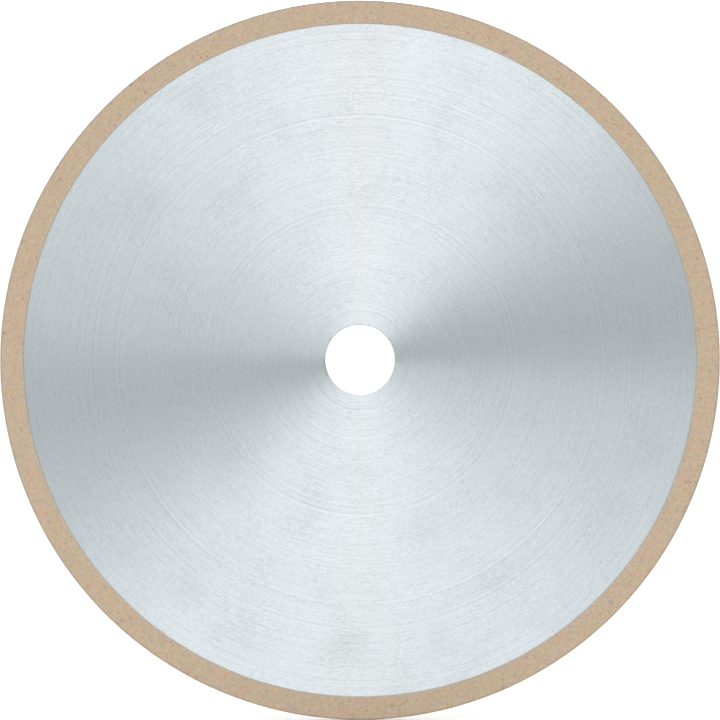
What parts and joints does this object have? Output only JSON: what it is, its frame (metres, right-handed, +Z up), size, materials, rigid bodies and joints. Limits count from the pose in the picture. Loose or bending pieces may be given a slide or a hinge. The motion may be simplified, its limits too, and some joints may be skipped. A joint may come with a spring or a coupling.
{
  "type": "diamond blade",
  "caption": "Continuous rim diamond blade: a thin steel disc with an arbor bore and a sintered bronze rim that carries diamond grit.",
  "frame": {"origin": "centre of the arbor bore, in the middle of the steel core's thickness", "axes": "+Y along the spin axis, with the front side facing -Y; +Z up when the blade stands on its edge"},
  "size_m": [0.2299, 0.0024, 0.2299],
  "materials": {
    "steel": "satin",
    "bond": "matte",
    "diamond": "gloss"
  },
  "bodies": {
    "root": {"core": "steel", "rim": "bond", "diamond_grit": "diamond"}
  },
  "joints": []
}
